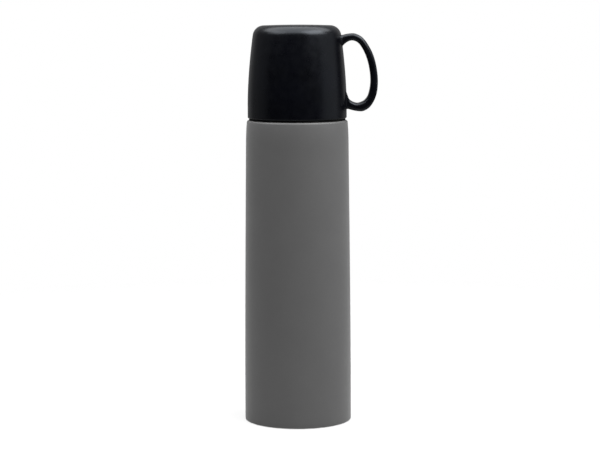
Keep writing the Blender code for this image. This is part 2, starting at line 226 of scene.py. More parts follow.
def raw_object(name, data):
    """A bmesh in millimetres as an object in metres."""
    bmesh.ops.scale(data, vec=(MM, MM, MM), verts=data.verts)
    bmesh.ops.recalc_face_normals(data, faces=data.faces)
    mesh = bpy.data.meshes.new(name)
    data.to_mesh(mesh)
    data.free()
    made = bpy.data.objects.new(name, mesh)
    bpy.context.scene.collection.objects.link(made)
    return made


def apply_modifiers(target):
    """Put the result of an object's modifiers in place of its mesh."""
    graph = bpy.context.evaluated_depsgraph_get()
    final = bpy.data.meshes.new_from_object(target.evaluated_get(graph))
    target.modifiers.clear()
    old = target.data
    target.data = final
    bpy.data.meshes.remove(old)


def combine(target, tool, operation):
    """Cut the tool from the target, or join it on, and remove the tool."""
    step = target.modifiers.new(operation, "BOOLEAN")
    step.operation = operation
    step.solver = "EXACT"
    step.object = tool
    apply_modifiers(target)
    bpy.data.objects.remove(tool)
    weld(target)


def weld(target):
    """Join the nearly equal points that a boolean leaves, and drop the slivers between them."""
    data = bmesh.new()
    data.from_mesh(target.data)
    bmesh.ops.remove_doubles(data, verts=data.verts, dist=WELD_REACH)
    many_sided = [face for face in data.faces if len(face.verts) > 4]
    bmesh.ops.triangulate(data, faces=many_sided, ngon_method="BEAUTY")
    bmesh.ops.dissolve_degenerate(data, edges=data.edges, dist=WELD_REACH)
    data.to_mesh(target.data)
    data.free()


def rounded_block(name, size, centre, edge):
    """A block with rounded edges, used as a cutter or a lug."""
    data = bmesh.new()
    bmesh.ops.create_cube(data, size=1.0)
    bmesh.ops.scale(data, vec=size, verts=data.verts)
    bmesh.ops.bevel(data, geom=data.edges[:], offset=edge, segments=3, affect="EDGES", profile=0.5)
    bmesh.ops.translate(data, vec=centre, verts=data.verts)
    return raw_object(name, data)


def coil_mesh(coil_r, wire_r, bottom, top, turns, closed=0.9, sides=12, steps=40):
    """A compression spring whose end turns lie nearly flat."""
    sections = []
    count = int(turns * steps)
    low, high = bottom + wire_r, top - wire_r
    end_rise = 1.02 * wire_r
    for i in range(count + 1):
        turn = i / steps
        if turn < closed:
            z = low + end_rise * turn / closed
        elif turn > turns - closed:
            z = high - end_rise * (turns - turn) / closed
        else:
            share = (turn - closed) / (turns - 2 * closed)
            z = low + end_rise + (high - low - 2 * end_rise) * share
        angle = math.tau * turn
        section = []
        for k in range(sides):
            around = math.tau * k / sides
            r = coil_r + wire_r * math.cos(around)
            section.append((r * math.cos(angle), r * math.sin(angle), z + wire_r * math.sin(around)))
        sections.append(section)
    return lofted(sections)


def piece(name, made, node, finish):
    """Shade a fine mesh, give it its finish, and let it stand for its CAD node."""
    made.name = name
    made.data.name = name
    made.data.materials.clear()
    made.data.materials.append(finish)
    made.data.shade_smooth()
    made.data.set_sharp_from_angle(angle=SHARP)
    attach(made, BODY_OF[node])
    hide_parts(node)


# ------------------------------------------------------------ material tools

class Finish:
    """A Principled material with a few helpers for procedural detail."""

    def __init__(self, name, colour, roughness, metallic=0.0, specular=0.5):
        self.material = bpy.data.materials.new(name)
        self.material.use_nodes = True
        self.tree = self.material.node_tree
        self.shader = self.tree.nodes["Principled BSDF"]
        self.put("Base Color", (*colour, 1.0))
        self.put("Roughness", roughness)
        self.put("Metallic", metallic)
        self.put("Specular IOR Level", specular)
        self.where = self.tree.nodes.new("ShaderNodeTexCoord").outputs["Object"]

    def put(self, socket, value):
        """Set a value that is the same all over."""
        self.shader.inputs[socket].default_value = value

    def link(self, output, target):
        self.tree.links.new(output, target)

    def noise(self, size_mm, detail=2.0):
        """Cloudy texture with features of about this size."""
        node = self.tree.nodes.new("ShaderNodeTexNoise")
        node.inputs["Scale"].default_value = 1.0 / (size_mm * MM)
        node.inputs["Detail"].default_value = detail
        self.link(self.where, node.inputs["Vector"])
        return node.outputs["Fac"]

    def cells(self, size_mm, feature="F1"):
        """Distance within cells of about this size."""
        node = self.tree.nodes.new("ShaderNodeTexVoronoi")
        node.feature = feature
        node.inputs["Scale"].default_value = 1.0 / (size_mm * MM)
        self.link(self.where, node.inputs["Vector"])
        return node.outputs["Distance"]

    def spread(self, source, low, high, from_low=0.3, from_high=0.7):
        """Map a texture's usual range onto low to high."""
        node = self.tree.nodes.new("ShaderNodeMapRange")
        node.inputs["From Min"].default_value = from_low
        node.inputs["From Max"].default_value = from_high
        node.inputs["To Min"].default_value = low
        node.inputs["To Max"].default_value = high
        self.link(source, node.inputs["Value"])
        return node.outputs["Result"]

    def maths(self, operation, first, second=0.0):
        """Arithmetic on outputs or plain numbers."""
        node = self.tree.nodes.new("ShaderNodeMath")
        node.operation = operation
        for source, target in ((first, node.inputs[0]), (second, node.inputs[1])):
            if isinstance(source, (int, float)):
                target.default_value = source
            else:
                self.link(source, target)
        return node.outputs["Value"]

    def tint(self, source, dark, light):
        """Colour that runs from dark to light with a 0 to 1 source."""
        node = self.tree.nodes.new("ShaderNodeMix")
        node.data_type = "RGBA"
        node.inputs[6].default_value = (*dark, 1.0)
        node.inputs[7].default_value = (*light, 1.0)
        self.link(source, node.inputs[0])
        self.link(node.outputs[2], self.shader.inputs["Base Color"])

    def mottle(self, source, colour, dark, light, from_low=0.3, from_high=0.7):
        """Colour that varies with a texture between two shares of one colour."""
        share = self.spread(source, 0.0, 1.0, from_low, from_high)
        self.tint(share, scaled(colour, dark), scaled(colour, light))

    def roughen(self, source):
        self.link(source, self.shader.inputs["Roughness"])

    def rough_patches(self, size_mm, detail, low, high):
        """Roughness that drifts between two values."""
        self.roughen(self.spread(self.noise(size_mm, detail), low, high))

    def bump(self, source, depth_mm, strength=1.0):
        """Relief of a height texture. Calls add up."""
        node = self.tree.nodes.new("ShaderNodeBump")
        node.inputs["Strength"].default_value = strength
        node.inputs["Distance"].default_value = depth_mm * MM
        self.link(source, node.inputs["Height"])
        normal = self.shader.inputs["Normal"]
        if normal.is_linked:
            self.link(normal.links[0].from_socket, node.inputs["Normal"])
        self.link(node.outputs["Normal"], normal)

    def turning_lines(self, across_mm):
        """A vector that changes fast along radius and height and slowly round the axis, as lathe marks do."""
        slow = 1.4
        fast = 1.0 / (across_mm * MM)
        split = self.tree.nodes.new("ShaderNodeSeparateXYZ")
        self.link(self.where, split.inputs[0])
        square_x = self.maths("MULTIPLY", split.outputs[0], split.outputs[0])
        square_y = self.maths("MULTIPLY", split.outputs[1], split.outputs[1])
        radius = self.maths("SQRT", self.maths("ADD", square_x, square_y))
        angle = self.maths("ARCTAN2", split.outputs[1], split.outputs[0])
        join = self.tree.nodes.new("ShaderNodeCombineXYZ")
        self.link(self.maths("MULTIPLY", radius, fast), join.inputs[0])
        self.link(self.maths("MULTIPLY", split.outputs[2], fast), join.inputs[1])
        self.link(self.maths("MULTIPLY", angle, slow), join.inputs[2])
        return join.outputs[0]

    def streaks(self, across_mm):
        """Texture of fine lines round the axis."""
        node = self.tree.nodes.new("ShaderNodeTexNoise")
        node.inputs["Scale"].default_value = 1.0
        node.inputs["Detail"].default_value = 3.0
        self.link(self.turning_lines(across_mm), node.inputs["Vector"])
        return node.outputs["Fac"]


def scaled(colour, factor):
    """A colour made darker or lighter."""
    return tuple(channel * factor for channel in colour)


# ------------------------------------------------------------ finishes

def body_paint():
    """Satin powder paint: fine speckle, faint cloudiness and orange peel."""
    grey = (0.116, 0.116, 0.116)
    speckle_share = 0.55
    made = Finish("grey_satin_paint", grey, 0.50, 0.0, 0.46)
    made.put("Sheen Weight", 0.25)
    made.put("Sheen Roughness", 0.45)
    fine = made.noise(0.28, 2.0)
    cloudy = made.noise(22.0, 3.0)
    speckle = made.maths("MULTIPLY", fine, speckle_share)
    clouds = made.maths("MULTIPLY", cloudy, 1.0 - speckle_share)
    made.mottle(made.maths("ADD", speckle, clouds), grey, 0.96, 1.04, 0.38, 0.62)
    made.rough_patches(3.0, 3.0, 0.46, 0.54)
    made.bump(made.noise(1.5, 2.0), 0.035, 0.5)
    made.bump(made.noise(0.22, 1.0), 0.010, 0.4)
    return made.material


def turned_steel(name, colour, roughness, line_mm=0.22):
    """Stainless steel with fine lines round the axis."""
    made = Finish(name, colour, roughness, 1.0)
    lines = made.streaks(line_mm)
    blotch = made.noise(9.0, 3.0)
    made.mottle(lines, colour, 0.88, 1.08)
    line_roughness = made.spread(lines, -0.05, 0.05)
    blotch_roughness = made.spread(blotch, roughness - 0.04, roughness + 0.05)
    made.roughen(made.maths("ADD", line_roughness, blotch_roughness))
    made.bump(lines, 0.006, 0.5)
    return made.material


def moulded(name, colour, roughness, grain_mm, specular=0.5, tint=None, cloud=0.10):
    """Moulded plastic with a spark-eroded satin grain and slight flow marks."""
    made = Finish(name, colour, roughness, 0.0, specular)
    grain = made.noise(grain_mm, 2.0)
    flow = made.noise(14.0, 2.0)
    mixed = made.maths("ADD", made.maths("MULTIPLY", grain, 0.5), made.maths("MULTIPLY", flow, 0.5))
    made.mottle(mixed, colour, 1.0 - cloud, 1.0 + cloud, 0.38, 0.62)
    made.rough_patches(5.0, 3.0, roughness - 0.035, roughness + 0.035)
    made.bump(grain, 0.005, 0.35)
    if tint:
        made.put("Specular Tint", (*tint, 1.0))
    return made.material


def soft_rubber(name, colour, roughness=0.82, clear=0.0, specular=0.4):
    """Rubber or silicone: mould texture, dusty bloom, and some light inside when it is pale."""
    made = Finish(name, colour, roughness, 0.0, specular)
    made.mottle(made.noise(4.0, 4.0), colour, 0.88, 1.14)
    made.rough_patches(1.2, 3.0, roughness - 0.07, min(1.0, roughness + 0.06))
    made.bump(made.noise(0.35, 2.0), 0.015, 0.5)
    if clear:
        made.put("Subsurface Weight", clear)
        made.put("Subsurface Radius", (0.003, 0.003, 0.0027))
        made.put("Subsurface Scale", 0.6)
    return made.material


def foil_finish():
    """Copper foil, crinkled where it is wrapped."""
    colour = (0.80, 0.40, 0.25)
    made = Finish("copper_foil_wrap", colour, 0.24, 1.0)
    creases = made.cells(7.0, "DISTANCE_TO_EDGE")
    made.mottle(made.noise(12.0, 3.0), colour, 0.85, 1.08)
    made.rough_patches(2.5, 3.0, 0.18, 0.34)
    made.bump(made.spread(creases, 0.0, 1.0, 0.0, 0.08), 0.12, 0.6)
    made.bump(made.noise(3.0, 4.0), 0.10, 0.5)
    return made.material


def braze_finish():
    """Brazing metal, cast-looking and partly tarnished."""
    colour = (0.52, 0.40, 0.22)
    made = Finish("braze_metal", colour, 0.38, 1.0)
    made.mottle(made.noise(0.9, 4.0), colour, 0.55, 1.1)
    made.rough_patches(0.5, 3.0, 0.28, 0.55)
    made.bump(made.noise(0.6, 3.0), 0.05, 0.6)
    return made.material


def getter_finish():
    """Pressed metal grains."""
    colour = (0.21, 0.21, 0.22)
    made = Finish("sintered_getter", colour, 0.75, 0.6)
    grains = made.cells(0.35)
    made.mottle(grains, colour, 0.6, 1.3, 0.0, 0.6)
    made.rough_patches(1.0, 3.0, 0.65, 0.85)
    made.bump(grains, 0.06, 0.8)
    return made.material


def wire_finish(name):
    """Drawn spring wire, slightly straw-coloured from its heat treatment."""
    colour = (0.60, 0.58, 0.55)
    made = Finish(name, colour, 0.26, 1.0)
    drawn = made.noise(0.4, 3.0)
    made.mottle(made.noise(4.0, 2.0), colour, 0.82, 1.08)
    made.roughen(made.spread(drawn, 0.20, 0.36))
    made.bump(drawn, 0.006, 0.4)
    return made.material


# ------------------------------------------------------------ the body

FOOT_Z, NECK_TOP_Z, BASE_R = extent("outer_shell")
RING_BOTTOM_Z, RING_TOP_Z, RING_R = extent("shoulder_ring")
JOIN_GAP = 0.3          # clearance between pieces that touch in the real flask
SHOULDER_Z = RING_BOTTOM_Z - JOIN_GAP
NECK_R = 26.2           # outer wall's neck, outside
STEEL = 0.6             # thickness of both steel walls
TAPER_START_Z = 30.0
TAPER_END_Z = 188.0
TAPER_LOSS = 1.5        # how much radius the taper takes off
ROLL_START_Z = 186.0    # where the wall starts to roll in to the shoulder
PITCH = 4.0             # of all threads


def body_radius(z):
    """Outside radius of the painted wall: straight, then a slow taper, then a roll in to the shoulder."""
    part = min(1.0, max(0.0, (z - TAPER_START_Z) / (TAPER_END_Z - TAPER_START_Z)))
    roll_in = 0.5 * max(0.0, (z - ROLL_START_Z) / 10.0) ** 1.6
    return BASE_R - TAPER_LOSS * part ** 1.25 - roll_in


def make_outer_shell():
    """Painted wall with its foot, shoulder, neck and the rolled thread for the cup."""
    wall_low, wall_top = 4.0, 193.6
    rows = 64
    heights = [wall_low + (wall_top - wall_low) * i / rows for i in range(rows + 1)]
    edge_r = body_radius(SHOULDER_Z)
    corners = [(BASE_R - STEEL, FOOT_Z), (BASE_R, FOOT_Z, 1.4)]
    corners += [(body_radius(z), z) for z in heights]
    corners += [
        (edge_r, SHOULDER_Z, 1.3), (NECK_R, SHOULDER_Z, 0.8), (NECK_R, NECK_TOP_Z, 0.2),
        (NECK_R - STEEL, NECK_TOP_Z, 0.2), (NECK_R - STEEL, SHOULDER_Z - STEEL, 0.5),
        (edge_r - STEEL, SHOULDER_Z - STEEL, 1.0),
    ]
    corners += [(body_radius(z) - STEEL, z) for z in reversed(heights[::4])]
    outline = densified(rounded(corners, 7), SHOULDER_Z, NECK_TOP_Z, THREAD_STEP)
    push = thread_push(0.88, 201.4, 2.0, PITCH, 1.25)

    def shape(angle, r, z):
        on_neck = abs(r - NECK_R) < ON_WALL and z > SHOULDER_Z + 1
        return r + push(angle, z) if on_neck else r
    made = raw_object("outer_shell_fine", turned(outline, ROUND_STEPS, shape))
    piece("painted_wall", made, "outer_shell", body_paint())


def make_inner_bottle():
    """Steel bottle with its neck, the gasket's seat, the stopper's rolled thread and the drinking lip."""
    floor_z, lip_z, bottle_r = extent("inner_bottle")
    mouth_r = 22.5
    seat_r = 21.6
    neck_low_z = 201.8
    floor_round = 12
    lip_low_z = NECK_TOP_Z + JOIN_GAP
    lip_r = NECK_R + 0.1
    outer_neck = mouth_r + STEEL
    shoulder = smooth_line([
        (bottle_r, 162.0), (31.4, 173.0), (29.6, 180.5), (26.6, 186.5), (23.6, 190.6),
        (seat_r + STEEL, 194.2),
    ], 6)
    outside = [(0.0, floor_z)] + arc(bottle_r - floor_round, floor_z + floor_round, floor_round, -90, 0, 12)
    outside += shoulder
    outside += [(seat_r + STEEL, 200.3), (outer_neck - 0.3, 201.1), (outer_neck, neck_low_z)]
    lip = rounded([
        (outer_neck, NECK_TOP_Z - 0.6), (outer_neck, lip_low_z, 0.3), (lip_r, lip_low_z, 0.35),
        (lip_r, lip_z, 0.65), (mouth_r, lip_z, 0.9), (mouth_r, lip_z - 3.0),
    ], 6)
    inner_shoulder = [(r - STEEL, z - 0.3) for r, z in reversed(shoulder)]
    inner_floor = arc(bottle_r - floor_round, floor_z + floor_round, floor_round - STEEL, 0, -90, 12)
    inner_floor += [(0.0, floor_z + STEEL)]
    step = [(mouth_r, 201.7), (mouth_r - 0.3, 201.0), (seat_r, 200.1)]
    outline = outside + lip + step + inner_shoulder + inner_floor
    outline = densified(outline, neck_low_z + 0.1, lip_z, THREAD_STEP)
    push = thread_push(0.68, 204.2, 1.5, PITCH, 1.25)

    def shape(angle, r, z):
        in_mouth = abs(r - mouth_r) < ON_WALL and neck_low_z < z < lip_z - 1
        return r - push(angle, z) if in_mouth else r
    made = raw_object("inner_bottle_fine", turned(outline, ROUND_STEPS, shape))
    piece("steel_bottle", made, "inner_bottle", turned_steel("bottle_steel", (0.62, 0.62, 0.63), 0.32))


def make_outer_base():
    """Pressed pan with a stiffening step and a recess in the middle for the pump-out hole."""
    low, high, edge = extent("outer_base")
    hole_r = 1.2
    recess_z = 4.2
    recess_top_z = recess_z + STEEL
    outline = rounded([
        (edge, high, 0.15), (edge, low, 1.0), (27.0, low, 0.6), (26.4, low + 0.4, 0.5),
        (24.6, low + 0.4, 0.5), (24.0, low, 0.6), (9.0, low, 1.0), (7.0, recess_z, 0.8),
        (hole_r, recess_z, 0.1), (hole_r, recess_top_z, 0.1), (6.6, recess_top_z, 0.8),
        (8.6, low + STEEL, 1.0), (edge - STEEL - 0.4, low + STEEL, 0.8), (edge - STEEL, high, 0.1),
    ], 6)
    made = raw_object("outer_base_fine", turned(outline, ROUND_STEPS))
    piece("base_pan", made, "outer_base", turned_steel("pan_steel", (0.58, 0.58, 0.59), 0.38, 0.3))


def make_vacuum_seal():
    """Slightly lumpy bead of braze."""
    low, high, edge = extent("vacuum_seal")
    side = rounded([
        (edge * 0.9, high, 0.2), (edge, high - 0.25, 0.2), (edge * 0.86, low + 0.7, 0.6),
        (edge * 0.5, low + 0.15, 0.6),
    ], 5)
    outline = [(0.0, high)] + side + [(0.0, low)]

    def lumpy(angle, r, z):
        return r * (1.0 - 0.05 * (0.5 + 0.5 * math.sin(3 * angle) * math.cos(2 * angle + 1.0)))
    made = raw_object("vacuum_seal_fine", turned(outline, 48, lumpy))
    piece("braze_bead", made, "vacuum_seal", braze_finish())


def make_getter():
    """Pressed pellet with a shallow dish on top."""
    low, high, edge = extent("getter")
    dish_z = high - 0.25
    side = rounded([(2.2, dish_z, 0.3), (2.6, high, 0.25), (edge, high, 0.4), (edge, low, 0.3)], 5)
    outline = [(0.0, dish_z)] + side + [(0.0, low)]
    made = raw_object("getter_fine", turned(outline, 64))
    piece("getter_pellet", made, "getter", getter_finish())


def make_radiation_foil():
    """Foil wrapped round the bottle, with shallow crinkles outside."""
    low, high, outer = extent("radiation_foil")
    inner = outer - 0.18
    rows = 60
    depth = 0.05
    corners = [(outer, low + (high - low) * i / rows) for i in range(rows)]
    corners += [(outer, high), (inner, high), (inner, low)]

    def crinkled(angle, r, z):
        if r < outer - ON_WALL:
            return r
        broad = math.sin(9 * angle + 0.11 * z) * math.sin(0.35 * z + 3 * angle)
        fine = 0.5 * math.sin(23 * angle + 0.7 * z)
        return r - depth * (1.0 + (broad + fine) / 1.5)
    made = raw_object("radiation_foil_fine", turned(corners, ROUND_STEPS, crinkled))
    piece("copper_wrap", made, "radiation_foil", foil_finish())


def make_base_pad():
    """Non-slip pad with moulded rings in its underside."""
    low, high, edge = extent("base_pad")
    groove_z = low + 0.45
    corners = [(0.0, low)]
    for groove in (8.0, 14.0, 20.0, 26.0):
        corners += [(groove - 0.7, low, 0.15), (groove - 0.4, groove_z, 0.15)]
        corners += [(groove + 0.4, groove_z, 0.15), (groove + 0.7, low, 0.15)]
    corners += [(edge, low, 0.6), (edge, high, 0.25), (0.0, high)]
    made = raw_object("base_pad_fine", turned(rounded(corners, 4), ROUND_STEPS))
    piece("non_slip_pad", made, "base_pad", soft_rubber("pad_rubber_black", (0.020, 0.020, 0.021)))


def make_shoulder_ring():
    """Black rubber ring that the cup's rim seats on, with a slightly raised outer lip. Its colour is darker
    than the other black rubbers: painted shade of the gap under the cup's rim.
    """
    inner = NECK_R + 1.2
    top, low = RING_TOP_Z, RING_BOTTOM_Z
    outline = rounded([
        (inner, low, 0.15), (RING_R, low, 0.2), (RING_R, top, 0.25), (RING_R - 1.2, top, 0.1),
        (RING_R - 1.5, top - 0.15, 0.1), (inner + 0.4, top - 0.15, 0.1), (inner, top - 0.3, 0.15),
    ], 4)
    made = raw_object("shoulder_ring_fine", turned(outline, ROUND_STEPS))
    # near-black colour: black rubber darkened further as painted shade of the gap between the cup's rim and
    # the shoulder
    finish = soft_rubber("ring_rubber_and_painted_gap_shade", (0.004, 0.004, 0.0045), 0.8, 0.0, 0.15)
    piece("cup_seat_ring", made, "shoulder_ring", finish)


# ------------------------------------------------------------ the cup

RIM_Z, CUP_TOP_Z, RIM_R = extent("cup_shell")
CUP_WALL = 1.8
CUP_TAPER_START_Z = 208.0
CUP_TAPER_END_Z = 250.0
CUP_TAPER_LOSS = 3.1                    # how much radius the cup's taper takes off
CUP_CORNER_Z = CUP_TOP_Z - 7.6          # centre of the rounding between the wall and the top
CUP_CORNER_R = 21.6
CUP_CORNER_ROUND = 7.2
HANDLE_HALF_WIDTH = 6.0
HANDLE_EDGES = [
    # outer edge x, z and inner edge x, z, from the handle's top root to its lower root
    (27.8, 252.9, 28.5, 245.4),
    (33.2, 254.2, 32.6, 248.8),
    (38.4, 254.1, 36.4, 249.7),
    (43.6, 250.7, 40.6, 247.3),
    (48.8, 242.3, 44.6, 240.4),
    (51.6, 233.0, 47.0, 232.0),
    (52.6, 223.0, 47.8, 223.0),
    (51.5, 214.2, 46.6, 215.4),
    (47.9, 207.2, 44.6, 211.7),
    (43.2, 204.0, 42.0, 209.9),
    (38.4, 204.0, 38.6, 209.2),
    (34.2, 205.0, 34.4, 211.2),
    (32.3, 205.5, 32.4, 215.4),
    (30.9, 205.7, 30.6, 220.0),
]
HANDLE_STEPS = [14, 6, 6, 7, 7, 6, 6, 6, 7, 6, 6, 8, 12]    # sections between each pair of those rows


def cup_radius(z):
    """Outside radius of the cup's wall: straight at the rim, then drawn in more and more."""
    part = max(0.0, (z - CUP_TAPER_START_Z) / (CUP_TAPER_END_Z - CUP_TAPER_START_Z))
    return RIM_R - CUP_TAPER_LOSS * part ** 1.75


def handle_section(thick, half_width, steps):
    """Outline (depth, y) of the bar: flat faces, generous corner rounding and a slight crown outside."""
    edge = 1.9
    crown = 0.25
    side_y = half_width - edge
    inner_depth = thick - edge
    corners = [(edge, side_y, 180, 90), (inner_depth, side_y, 90, 0), (inner_depth, -side_y, 0, -90),
               (edge, -side_y, -90, -180)]
    outline = []
    for centre_depth, centre_y, start, end in corners:
        for depth, y in arc(centre_depth, centre_y, edge, start, end, steps):
            on_outside = depth < thick / 2
            sunk = crown * (y / half_width) ** 2 if on_outside else 0.0
            outline.append((depth + sunk, y))
    return outline


def fillet_push(point, across, side_share, y_share):
    """How far a point of the bar moves outwards near the cup's wall, to make a moulded fillet."""
    fillet = 1.3
    strength = 0.8
    depth_weight = 0.6
    wall_r = cup_radius(min(point.z, CUP_CORNER_Z))
    from_wall = max(0.0, math.hypot(point.x, point.y) - wall_r)
    if from_wall >= fillet:
        return Vector((0.0, 0.0, 0.0))
    swell = fillet - math.sqrt(max(0.0, fillet ** 2 - (fillet - from_wall) ** 2))
    outward = across * side_share * depth_weight + Vector((0.0, y_share, 0.0))
    return outward.normalized() * swell * strength


def handle_mesh():
    """Loft the bar through its rows. Close to the cup's wall it swells into a moulded fillet."""
    sections = []
    for out_x, out_z, in_x, in_z in smooth_line(HANDLE_EDGES, HANDLE_STEPS):
        outer = Vector((out_x, 0.0, out_z))
        inner = Vector((in_x, 0.0, in_z))
        across = (inner - outer).normalized()
        thick = (inner - outer).length
        section = []
        for depth, y in handle_section(thick, HANDLE_HALF_WIDTH, 6):
            point = outer + across * depth + Vector((0.0, y, 0.0))
            side_share = (depth - thick / 2) / (thick / 2)
            point += fillet_push(point, across, side_share, y / HANDLE_HALF_WIDTH)
            section.append(tuple(point))
        sections.append(section)
    return lofted(sections)


def make_cup_shell():
    """Outer wall of the cup with its handle in one piece."""
    wall_low, wall_top = RIM_Z + 3.0, CUP_CORNER_Z + 1.0
    rows = 30
    heights = [wall_low + (wall_top - wall_low) * i / rows for i in range(rows + 1)]
    outside = rounded([(RIM_R - CUP_WALL, RIM_Z, 0.25), (RIM_R, RIM_Z, 1.0), (RIM_R, wall_low)], 7)
    outside += [(cup_radius(z), z) for z in heights[1:-1]]
    outside += arc(CUP_CORNER_R, CUP_CORNER_Z, CUP_CORNER_ROUND, 9, 87, 18)
    crown = [(20.0, 259.65), (14.0, 259.85), (7.0, 259.97)]
    outside += crown + [(0.0, CUP_TOP_Z)]
    inside = [(0.0, CUP_TOP_Z - CUP_WALL)]
    inside += arc(CUP_CORNER_R, CUP_CORNER_Z, CUP_CORNER_ROUND - CUP_WALL, 88, 8, 8)
    inside += [(cup_radius(z) - CUP_WALL, z) for z in reversed(heights[::6])]
    made = raw_object("cup_fine", turned(outside + inside, ROUND_STEPS))
    handle = raw_object("handle_fine", handle_mesh())
    combine(made, handle, "UNION")
    finish = moulded("cup_black_plastic", (0.0012, 0.0013, 0.0027), 0.30, 0.3, 0.39, (0.84, 0.91, 1.0), 0.3)
    piece("cup_and_handle", made, "cup_shell", finish)


def make_cup_liner():
    """Inner wall of the cup, with the thread near its rim."""
    low, high, outer = extent("cup_liner")
    wall = 1.4
    inner = 28.6
    thread_top = 214.0
    corner_r, corner_z, corner_round = 20.4, high - 6.3, 6.2
    outside = rounded([
        (inner, low, 0.4), (outer, low, 0.3), (outer, 205.0, 0.3), (29.9, thread_top, 4.0),
        (29.0, 224.0, 6.0), (27.6, 240.0, 8.0),
    ], 6)
    top = arc(corner_r, corner_z, corner_round, 4, 88, 12) + [(0.0, high), (0.0, high - wall)]
    inside = arc(corner_r, corner_z, corner_round - wall, 88, 4, 12)
    inside += rounded([
        (25.2, 249.0), (26.2, 240.0, 8.0), (27.6, 224.0, 6.0), (inner, thread_top, 4.0), (inner, 206.0),
    ], 6)
    outline = densified(outside + top + inside, low, thread_top, THREAD_STEP)
    push = thread_push(0.88, 203.4, 1.6, PITCH, 1.25)

    def shape(angle, r, z):
        return r - push(angle, z) if abs(r - inner) < ON_WALL and z > low + 0.6 else r
    made = raw_object("cup_liner_fine", turned(outline, ROUND_STEPS, shape))
    finish = moulded("cup_inner_black", (0.012, 0.012, 0.013), 0.48, 0.5)
    piece("cup_inner_wall", made, "cup_liner", finish)


# ------------------------------------------------------------ the stopper

GROOVE_LOW_Z, GROOVE_HIGH_Z = 193.2, 196.6      # groove that the gasket sits in
GROOVE_R = 18.9
PLUG_R = 20.6


def make_stopper_body():
    """Threaded plug with its gasket groove, valve chamber, four pouring windows and two side channels."""
    low, high, flange_r = extent("stopper_body")
    flange_z = 214.3
    chamber_r, chamber_low_z, chamber_top_z = 17.2, 194.0, 205.0
    valve_hole_r = 9.0
    stem_hole_r = 2.75
    ring_seat_r, ring_seat_z = 4.7, 206.6
    boss_r, boss_top_z = 6.0, 209.0
    well_r, well_z = 18.0, 207.0
    outline = rounded([
        (flange_r, high, 0.3), (flange_r, flange_z, 0.3), (PLUG_R, flange_z, 0.3),
        (PLUG_R, GROOVE_HIGH_Z, 0.25), (GROOVE_R, GROOVE_HIGH_Z, 0.2), (GROOVE_R, GROOVE_LOW_Z, 0.2),
        (PLUG_R, GROOVE_LOW_Z, 0.25),
        (PLUG_R, low, 0.6), (valve_hole_r, low, 0.3), (valve_hole_r, chamber_low_z, 0.3),
        (chamber_r, chamber_low_z, 0.6), (chamber_r, chamber_top_z, 0.6), (stem_hole_r, chamber_top_z, 0.2),
        (stem_hole_r, ring_seat_z, 0.1), (ring_seat_r, ring_seat_z, 0.1), (ring_seat_r, boss_top_z, 0.25),
        (boss_r, boss_top_z, 0.3), (boss_r, well_z, 0.4), (well_r, well_z, 0.5), (well_r, high, 0.3),
    ], 4)
    outline = densified(outline, 202.0, flange_z - 0.4, THREAD_STEP)
    push = thread_push(0.78, 205.4, 1.5, PITCH, 1.2)

    def shape(angle, r, z):
        return r + push(angle, z) if abs(r - PLUG_R) < ON_WALL and z > GROOVE_HIGH_Z + 0.9 else r
    made = raw_object("stopper_body_fine", turned(outline, SMALL_STEPS, shape))
    width, height, right_through = 9.0, 5.0, 60.0
    for size in ((right_through, width, height), (width, right_through, height)):
        combine(made, rounded_block("cut", size, (0.0, 0.0, 200.2), 1.2), "DIFFERENCE")
    channel_depth = 5.0
    for side in (-1, 1):
        centre = (side * (GROOVE_R + channel_depth / 2), 0.0, 208.55)
        combine(made, rounded_block("cut", (channel_depth, 8.4, 12.0), centre, 0.8), "DIFFERENCE")
    finish = moulded("plug_black_plastic", (0.018, 0.018, 0.020), 0.46, 0.5)
    piece("stopper_plug", made, "stopper_body", finish)


def make_stopper_gasket():
    """Silicone ring with two soft lips."""
    low, high, lip = extent("stopper_gasket")
    inner = GROOVE_R + JOIN_GAP
    waist = lip - 0.4
    shoulder = lip - 0.5
    outline = rounded([
        (inner, high, 0.2), (shoulder, high, 0.25), (lip, high - 0.5, 0.2), (waist, high - 1.2, 0.3),
        (waist, low + 1.2, 0.3), (lip, low + 0.6, 0.2), (shoulder, low, 0.25), (inner, low, 0.2),
    ], 5)
    made = raw_object("stopper_gasket_fine", turned(outline, SMALL_STEPS))
    finish = soft_rubber("gasket_silicone", (0.52, 0.52, 0.50), 0.5, 0.25)
    piece("plug_gasket", made, "stopper_gasket", finish)


